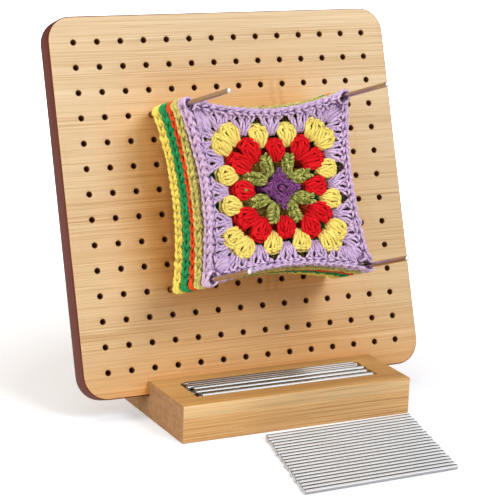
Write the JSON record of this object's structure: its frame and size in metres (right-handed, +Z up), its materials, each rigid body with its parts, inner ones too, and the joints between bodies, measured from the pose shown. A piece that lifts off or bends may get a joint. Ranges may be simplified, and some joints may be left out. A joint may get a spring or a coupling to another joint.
{
  "type": "crochet blocking board",
  "caption": "Square wooden pegboard leaning in a slotted wooden stand with a rod tray, steel blocking rods, and crocheted squares stretched on four of the rods.",
  "frame": {"origin": "centre of the stand's underside, on the table", "axes": "+X to the right along the stand, +Y to the back, +Z up; the board leans back towards +Y"},
  "size_m": [0.302, 0.3015, 0.305],
  "materials": {
    "bamboo_board": "pale bamboo face with fine horizontal grain, stained dark reddish-brown edges and hole walls, satin lacquer",
    "bamboo_stand": "laminated bamboo, warmer than the board, satin lacquer",
    "steel_rod": "polished stainless steel",
    "yarn_yellow": "matt cotton yarn, crocheted",
    "yarn_green": "matt cotton yarn, crocheted",
    "yarn_orange": "matt cotton yarn, crocheted",
    "yarn_olive": "matt cotton yarn, crocheted",
    "yarn_lavender": "matt cotton yarn, crocheted, with red, yellow, green and purple rounds"
  },
  "bodies": {
    "stand": {"stand_bottom_layer": "bamboo_stand", "stand_top_front": "bamboo_stand", "stand_top_rear": "bamboo_stand"},
    "board": {"blocking_board": "bamboo_board"},
    "board_rod_top_left": {"board_rod_top_left": "steel_rod"},
    "board_rod_top_right": {"board_rod_top_right": "steel_rod"},
    "board_rod_bottom_left": {"board_rod_bottom_left": "steel_rod"},
    "board_rod_bottom_right": {"board_rod_bottom_right": "steel_rod"},
    "square_1_yellow": {"square_1_yellow": "yarn_yellow"},
    "square_2_green": {"square_2_green": "yarn_green"},
    "square_3_orange": {"square_3_orange": "yarn_orange"},
    "square_4_olive": {"square_4_olive": "yarn_olive"},
    "square_5_lavender": {"square_5_lavender": "yarn_lavender"},
    "tray_rods_lower": {"tray_rod_01": "steel_rod", "tray_rod_02": "steel_rod", "tray_rod_03": "steel_rod", "tray_rod_04": "steel_rod", "tray_rod_05": "steel_rod", "tray_rod_06": "steel_rod", "tray_rod_07": "steel_rod", "tray_rod_08": "steel_rod"},
    "tray_rods_middle": {"tray_rod_09": "steel_rod", "tray_rod_10": "steel_rod", "tray_rod_11": "steel_rod", "tray_rod_12": "steel_rod", "tray_rod_13": "steel_rod", "tray_rod_14": "steel_rod", "tray_rod_15": "steel_rod"},
    "tray_rod_16": {"tray_rod_16": "steel_rod"},
    "tray_rod_17": {"tray_rod_17": "steel_rod"},
    "tray_rod_18": {"tray_rod_18": "steel_rod"},
    "tray_rod_19": {"tray_rod_19": "steel_rod"},
    "tray_rod_20": {"tray_rod_20": "steel_rod"},
    "tray_rod_21": {"tray_rod_21": "steel_rod"},
    "loose_rod_01": {"loose_rod_01": "steel_rod"},
    "loose_rod_02": {"loose_rod_02": "steel_rod"},
    "loose_rod_03": {"loose_rod_03": "steel_rod"},
    "loose_rod_04": {"loose_rod_04": "steel_rod"},
    "loose_rod_05": {"loose_rod_05": "steel_rod"},
    "loose_rod_06": {"loose_rod_06": "steel_rod"},
    "loose_rod_07": {"loose_rod_07": "steel_rod"},
    "loose_rod_08": {"loose_rod_08": "steel_rod"},
    "loose_rod_09": {"loose_rod_09": "steel_rod"},
    "loose_rod_10": {"loose_rod_10": "steel_rod"},
    "loose_rod_11": {"loose_rod_11": "steel_rod"},
    "loose_rod_12": {"loose_rod_12": "steel_rod"},
    "loose_rod_13": {"loose_rod_13": "steel_rod"},
    "loose_rod_14": {"loose_rod_14": "steel_rod"},
    "loose_rod_15": {"loose_rod_15": "steel_rod"},
    "loose_rod_16": {"loose_rod_16": "steel_rod"},
    "loose_rod_17": {"loose_rod_17": "steel_rod"},
    "loose_rod_18": {"loose_rod_18": "steel_rod"},
    "loose_rod_19": {"loose_rod_19": "steel_rod"},
    "loose_rod_20": {"loose_rod_20": "steel_rod"}
  },
  "joints": [
    {"name": "board_lift", "type": "slide", "parent": "stand", "child": "board", "axis": [0, 0.3178, 0.9482], "range_m": [0, 0.06]},
    {"name": "pull_top_left_rod", "type": "slide", "parent": "board", "child": "board_rod_top_left", "axis": [0.0109, -0.9544, 0.2983], "range_m": [0, 0.03]},
    {"name": "pull_top_right_rod", "type": "slide", "parent": "board", "child": "board_rod_top_right", "axis": [-0.0287, -0.9561, 0.2916], "range_m": [0, 0.03]},
    {"name": "pull_bottom_left_rod", "type": "slide", "parent": "board", "child": "board_rod_bottom_left", "axis": [0.015, -0.939, 0.3436], "range_m": [0, 0.03]},
    {"name": "pull_bottom_right_rod", "type": "slide", "parent": "board", "child": "board_rod_bottom_right", "axis": [-0.026, -0.9416, 0.3358], "range_m": [0, 0.03]},
    {"name": "yellow_square_slide", "type": "slide", "parent": "board", "child": "square_1_yellow", "axis": [0, -0.9482, 0.3178], "range_m": [-0.009, 0.01]},
    {"name": "green_square_slide", "type": "slide", "parent": "square_1_yellow", "child": "square_2_green", "axis": [0, -0.9482, 0.3178], "range_m": [0, 0.01]},
    {"name": "orange_square_slide", "type": "slide", "parent": "square_2_green", "child": "square_3_orange", "axis": [0, -0.9482, 0.3178], "range_m": [0, 0.01]},
    {"name": "olive_square_slide", "type": "slide", "parent": "square_3_orange", "child": "square_4_olive", "axis": [0, -0.9482, 0.3178], "range_m": [0, 0.01]},
    {"name": "lavender_square_slide", "type": "slide", "parent": "square_4_olive", "child": "square_5_lavender", "axis": [0, -0.9482, 0.3178], "range_m": [0, 0.06]},
    {"name": "tray_lower_lift", "type": "slide", "parent": "stand", "child": "tray_rods_lower", "axis": [0, 0, 1], "range_m": [0, 0.02]},
    {"name": "tray_middle_lift", "type": "slide", "parent": "tray_rods_lower", "child": "tray_rods_middle", "axis": [0, 0, 1], "range_m": [0, 0.015]},
    {"name": "tray_rod_16_lift", "type": "slide", "parent": "tray_rods_middle", "child": "tray_rod_16", "axis": [0, 0, 1], "range_m": [0, 0.02]},
    {"name": "tray_rod_17_lift", "type": "slide", "parent": "tray_rods_middle", "child": "tray_rod_17", "axis": [0, 0, 1], "range_m": [0, 0.02]},
    {"name": "tray_rod_18_lift", "type": "slide", "parent": "tray_rods_middle", "child": "tray_rod_18", "axis": [0, 0, 1], "range_m": [0, 0.02]},
    {"name": "tray_rod_19_lift", "type": "slide", "parent": "tray_rods_middle", "child": "tray_rod_19", "axis": [0, 0, 1], "range_m": [0, 0.02]},
    {"name": "tray_rod_20_lift", "type": "slide", "parent": "tray_rods_middle", "child": "tray_rod_20", "axis": [0, 0, 1], "range_m": [0, 0.02]},
    {"name": "tray_rod_21_lift", "type": "slide", "parent": "tray_rods_middle", "child": "tray_rod_21", "axis": [0, 0, 1], "range_m": [0, 0.02]},
    {"name": "loose_rod_01_lift", "type": "slide", "parent": "stand", "child": "loose_rod_01", "axis": [0, 0, 1], "range_m": [0, 0.05]},
    {"name": "loose_rod_02_lift", "type": "slide", "parent": "stand", "child": "loose_rod_02", "axis": [0, 0, 1], "range_m": [0, 0.05]},
    {"name": "loose_rod_03_lift", "type": "slide", "parent": "stand", "child": "loose_rod_03", "axis": [0, 0, 1], "range_m": [0, 0.05]},
    {"name": "loose_rod_04_lift", "type": "slide", "parent": "stand", "child": "loose_rod_04", "axis": [0, 0, 1], "range_m": [0, 0.05]},
    {"name": "loose_rod_05_lift", "type": "slide", "parent": "stand", "child": "loose_rod_05", "axis": [0, 0, 1], "range_m": [0, 0.05]},
    {"name": "loose_rod_06_lift", "type": "slide", "parent": "stand", "child": "loose_rod_06", "axis": [0, 0, 1], "range_m": [0, 0.05]},
    {"name": "loose_rod_07_lift", "type": "slide", "parent": "stand", "child": "loose_rod_07", "axis": [0, 0, 1], "range_m": [0, 0.05]},
    {"name": "loose_rod_08_lift", "type": "slide", "parent": "stand", "child": "loose_rod_08", "axis": [0, 0, 1], "range_m": [0, 0.05]},
    {"name": "loose_rod_09_lift", "type": "slide", "parent": "stand", "child": "loose_rod_09", "axis": [0, 0, 1], "range_m": [0, 0.05]},
    {"name": "loose_rod_10_lift", "type": "slide", "parent": "stand", "child": "loose_rod_10", "axis": [0, 0, 1], "range_m": [0, 0.05]},
    {"name": "loose_rod_11_lift", "type": "slide", "parent": "stand", "child": "loose_rod_11", "axis": [0, 0, 1], "range_m": [0, 0.05]},
    {"name": "loose_rod_12_lift", "type": "slide", "parent": "stand", "child": "loose_rod_12", "axis": [0, 0, 1], "range_m": [0, 0.05]},
    {"name": "loose_rod_13_lift", "type": "slide", "parent": "stand", "child": "loose_rod_13", "axis": [0, 0, 1], "range_m": [0, 0.05]},
    {"name": "loose_rod_14_lift", "type": "slide", "parent": "stand", "child": "loose_rod_14", "axis": [0, 0, 1], "range_m": [0, 0.05]},
    {"name": "loose_rod_15_lift", "type": "slide", "parent": "stand", "child": "loose_rod_15", "axis": [0, 0, 1], "range_m": [0, 0.05]},
    {"name": "loose_rod_16_lift", "type": "slide", "parent": "stand", "child": "loose_rod_16", "axis": [0, 0, 1], "range_m": [0, 0.05]},
    {"name": "loose_rod_17_lift", "type": "slide", "parent": "stand", "child": "loose_rod_17", "axis": [0, 0, 1], "range_m": [0, 0.05]},
    {"name": "loose_rod_18_lift", "type": "slide", "parent": "stand", "child": "loose_rod_18", "axis": [0, 0, 1], "range_m": [0, 0.05]},
    {"name": "loose_rod_19_lift", "type": "slide", "parent": "stand", "child": "loose_rod_19", "axis": [0, 0, 1], "range_m": [0, 0.05]},
    {"name": "loose_rod_20_lift", "type": "slide", "parent": "stand", "child": "loose_rod_20", "axis": [0, 0, 1], "range_m": [0, 0.05]}
  ]
}
